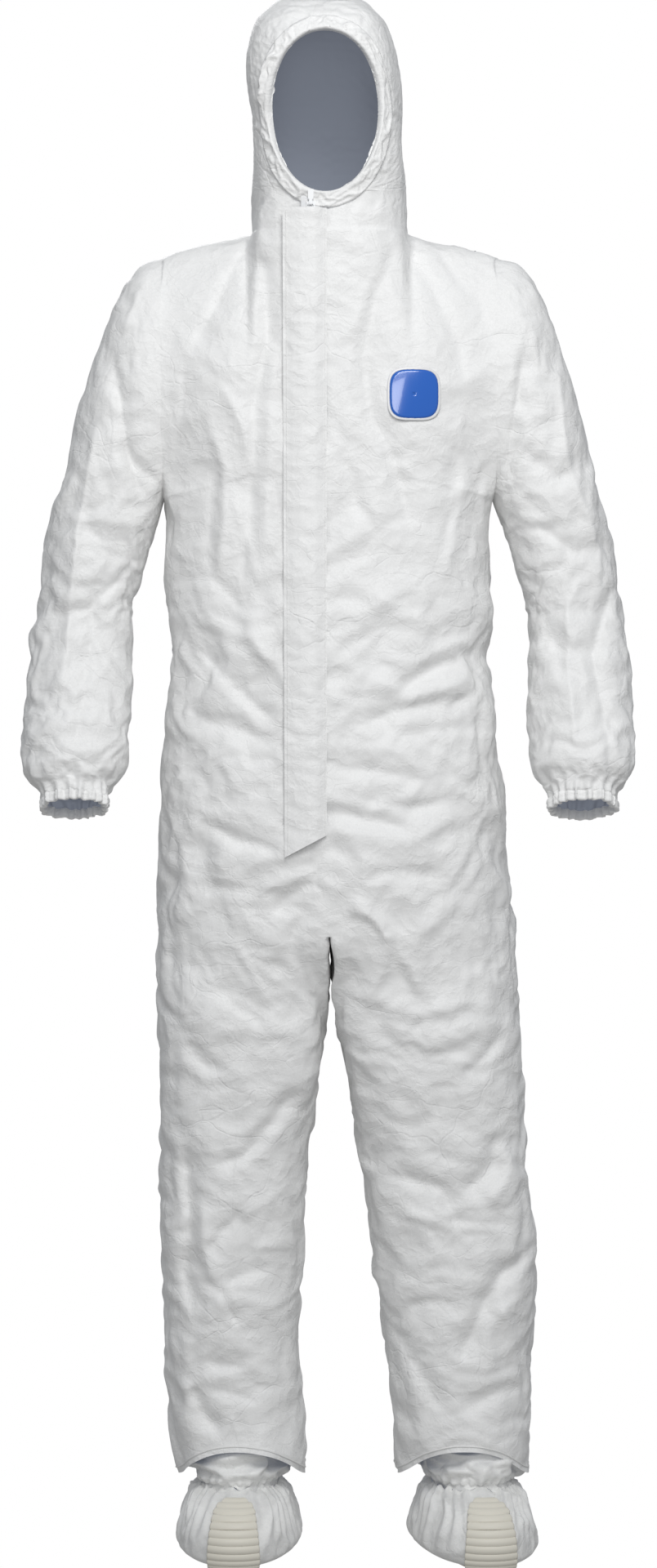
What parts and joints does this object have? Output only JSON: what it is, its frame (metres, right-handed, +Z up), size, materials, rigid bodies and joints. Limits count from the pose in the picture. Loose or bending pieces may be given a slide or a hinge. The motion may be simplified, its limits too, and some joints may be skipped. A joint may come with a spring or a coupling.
{
  "type": "chemical protective suit",
  "caption": "One-piece hooded protective coverall of white film fabric with zip and storm flap, elasticated face, cuffs and ankles, and attached ribbed-sole overshoes.",
  "frame": {"origin": "on the floor, at the middle of the suit's outline seen from above", "axes": "+Z up, -Y the way the suit faces, +X towards the wearer's left"},
  "size_m": [0.7334, 0.3455, 1.86],
  "materials": {
    "suit_film": "satin, finely creased",
    "zip_tape": "woven",
    "zip_plastic": "moulded",
    "elastic": "knitted",
    "label": "gloss",
    "adhesive_strip": "smooth",
    "neck_tape": "woven",
    "sole": "ribbed",
    "toe_patch": "ribbed"
  },
  "bodies": {
    "torso": {"front_panel_right": "suit_film", "front_panel_left": "suit_film", "back_panel": "suit_film", "collar": "suit_film", "zip_tape_right": "zip_tape", "zip_tape_left": "zip_tape", "zip_top_stop_right": "zip_plastic", "zip_top_stop_left": "zip_plastic", "zip_bottom_stop": "zip_plastic", "waist_elastic": "elastic", "chest_label": "label", "crotch_gusset": "suit_film", "neck_tape": "neck_tape"},
    "storm_flap": {"storm_flap": "suit_film", "flap_adhesive_strip": "adhesive_strip"},
    "slider": {"zip_slider": "zip_plastic"},
    "puller": {"zip_puller": "zip_plastic"},
    "hood": {"hood_side_right": "suit_film", "hood_side_left": "suit_film", "hood_centre_panel": "suit_film", "face_hem": "suit_film", "face_elastic": "elastic"},
    "upper_sleeve_right": {"sleeve_upper_front_right": "suit_film", "sleeve_upper_back_right": "suit_film"},
    "lower_sleeve_right": {"sleeve_lower_front_right": "suit_film", "sleeve_lower_back_right": "suit_film", "cuff_hem_right": "suit_film", "cuff_elastic_right": "elastic"},
    "thigh_right": {"thigh_front_right": "suit_film", "thigh_back_right": "suit_film"},
    "shin_right": {"shin_front_right": "suit_film", "shin_back_right": "suit_film"},
    "bootie_right": {"bootie_foot_right": "suit_film", "bootie_gaiter_right": "suit_film", "ankle_elastic_right": "elastic", "sole_right": "sole", "toe_patch_right": "toe_patch"},
    "upper_sleeve_left": {"sleeve_upper_front_left": "suit_film", "sleeve_upper_back_left": "suit_film"},
    "lower_sleeve_left": {"sleeve_lower_front_left": "suit_film", "sleeve_lower_back_left": "suit_film", "cuff_hem_left": "suit_film", "cuff_elastic_left": "elastic"},
    "thigh_left": {"thigh_front_left": "suit_film", "thigh_back_left": "suit_film"},
    "shin_left": {"shin_front_left": "suit_film", "shin_back_left": "suit_film"},
    "bootie_left": {"bootie_foot_left": "suit_film", "bootie_gaiter_left": "suit_film", "ankle_elastic_left": "elastic", "sole_left": "sole", "toe_patch_left": "toe_patch"}
  },
  "joints": [
    {"name": "hood_fold", "type": "hinge", "parent": "torso", "child": "hood", "pos_m": [0, 0.1215, 1.6005], "axis": [-1, 0, 0], "range_deg": [0, 90]},
    {"name": "flap_open", "type": "hinge", "parent": "torso", "child": "storm_flap", "pos_m": [-0.003, -0.09543, 1.2], "axis": [0, 0.0493, 0.9988], "range_deg": [0, 140]},
    {"name": "slider_run", "type": "slide", "parent": "torso", "child": "slider", "axis": [0, -0.0493, -0.9988], "range_m": [0, 0.72]},
    {"name": "puller_swing", "type": "hinge", "parent": "slider", "child": "puller", "pos_m": [-0.022, -0.0782, 1.60224], "axis": [1, 0, 0], "range_deg": [0, 90]},
    {"name": "shoulder_right", "type": "hinge", "parent": "torso", "child": "upper_sleeve_right", "pos_m": [-0.2025, 0.0315, 1.54], "axis": [0, 1, 0], "range_deg": [0, 70]},
    {"name": "elbow_right", "type": "hinge", "parent": "upper_sleeve_right", "child": "lower_sleeve_right", "pos_m": [-0.2945, -0.039, 1.118], "axis": [-1, 0, 0], "range_deg": [0, 100]},
    {"name": "hip_right", "type": "hinge", "parent": "torso", "child": "thigh_right", "pos_m": [-0.106, -0.107, 0.7365], "axis": [-1, 0, 0], "range_deg": [0, 75]},
    {"name": "knee_right", "type": "hinge", "parent": "thigh_right", "child": "shin_right", "pos_m": [-0.114, 0.136, 0.48], "axis": [1, 0, 0], "range_deg": [0, 90]},
    {"name": "ankle_right", "type": "hinge", "parent": "shin_right", "child": "bootie_right", "pos_m": [-0.108, 0.0415, 0.1], "axis": [1, 0, 0], "range_deg": [-12, 15]},
    {"name": "shoulder_left", "type": "hinge", "parent": "torso", "child": "upper_sleeve_left", "pos_m": [0.2025, 0.0315, 1.54], "axis": [0, -1, 0], "range_deg": [0, 70]},
    {"name": "elbow_left", "type": "hinge", "parent": "upper_sleeve_left", "child": "lower_sleeve_left", "pos_m": [0.2945, -0.039, 1.118], "axis": [-1, 0, 0], "range_deg": [0, 100]},
    {"name": "hip_left", "type": "hinge", "parent": "torso", "child": "thigh_left", "pos_m": [0.106, -0.107, 0.7365], "axis": [-1, 0, 0], "range_deg": [0, 75]},
    {"name": "knee_left", "type": "hinge", "parent": "thigh_left", "child": "shin_left", "pos_m": [0.137, 0.136, 0.48], "axis": [1, 0, 0], "range_deg": [0, 90]},
    {"name": "ankle_left", "type": "hinge", "parent": "shin_left", "child": "bootie_left", "pos_m": [0.17, 0.0415, 0.1], "axis": [1, 0, 0], "range_deg": [-12, 15]}
  ]
}
